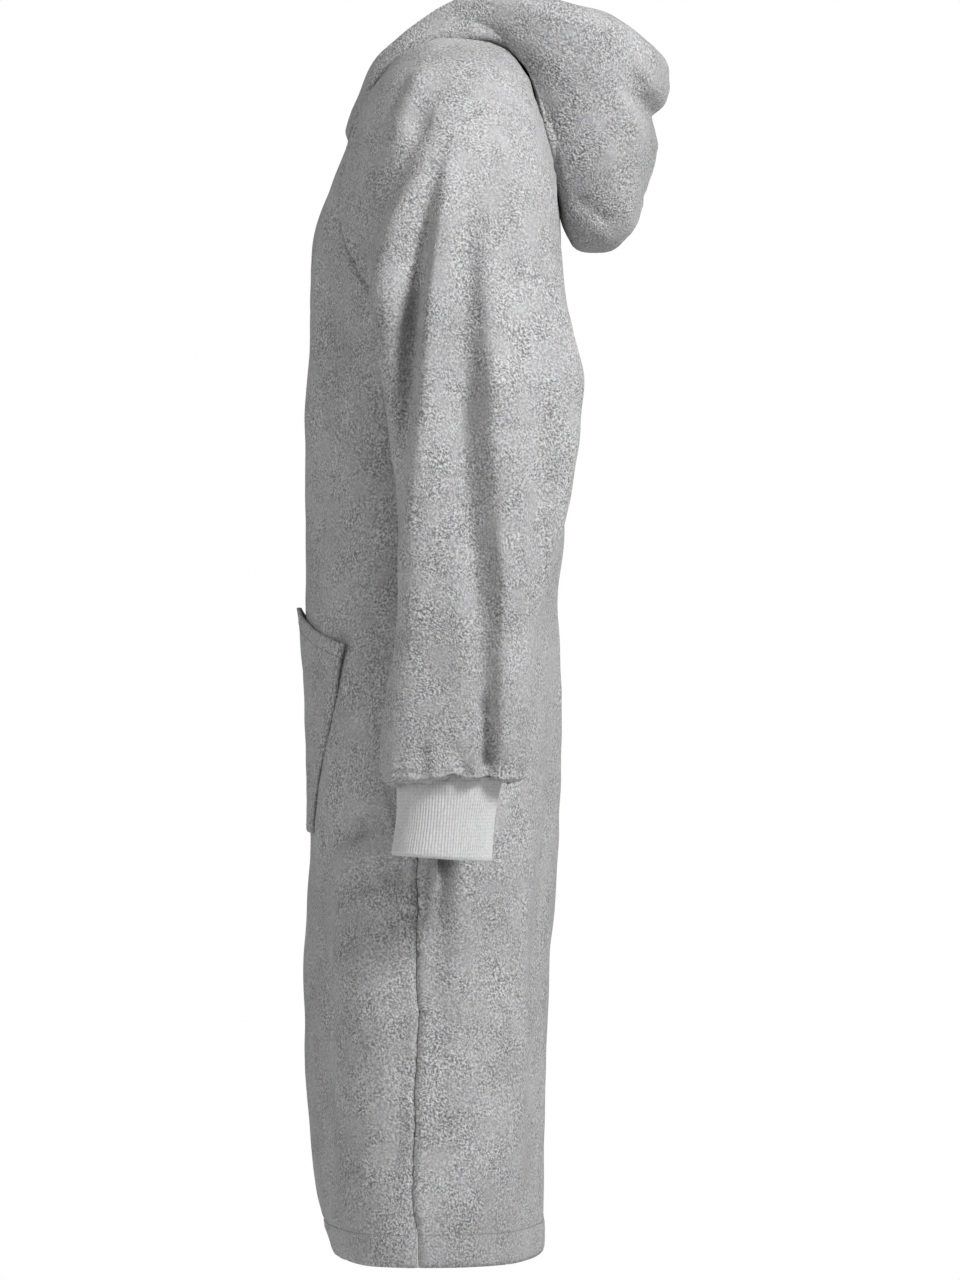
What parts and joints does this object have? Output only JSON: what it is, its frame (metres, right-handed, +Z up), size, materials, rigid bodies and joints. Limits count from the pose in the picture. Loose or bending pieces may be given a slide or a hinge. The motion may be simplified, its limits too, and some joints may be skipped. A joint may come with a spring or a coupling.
{
  "type": "blanket hoodie",
  "caption": "Long grey terry hooded robe with raglan sleeves, pale ribbed cuffs, a front pouch pocket and its hood down.",
  "frame": {"origin": "neck centre at shoulder level, where the wearer's shoulders hold the garment up", "axes": "+Z up, -Y to the front of the garment, +X to the wearer's left"},
  "size_m": [0.7094, 0.3686, 1.2476],
  "materials": {
    "terry": "matte grey looped terry",
    "rib": "matte pale grey rib knit"
  },
  "bodies": {
    "root": {"front": "terry", "back": "terry", "sleeve_left": "terry", "sleeve_right": "terry", "cuff_left": "rib", "cuff_right": "rib", "hood_left": "terry", "hood_right": "terry", "pocket": "terry"}
  },
  "joints": []
}
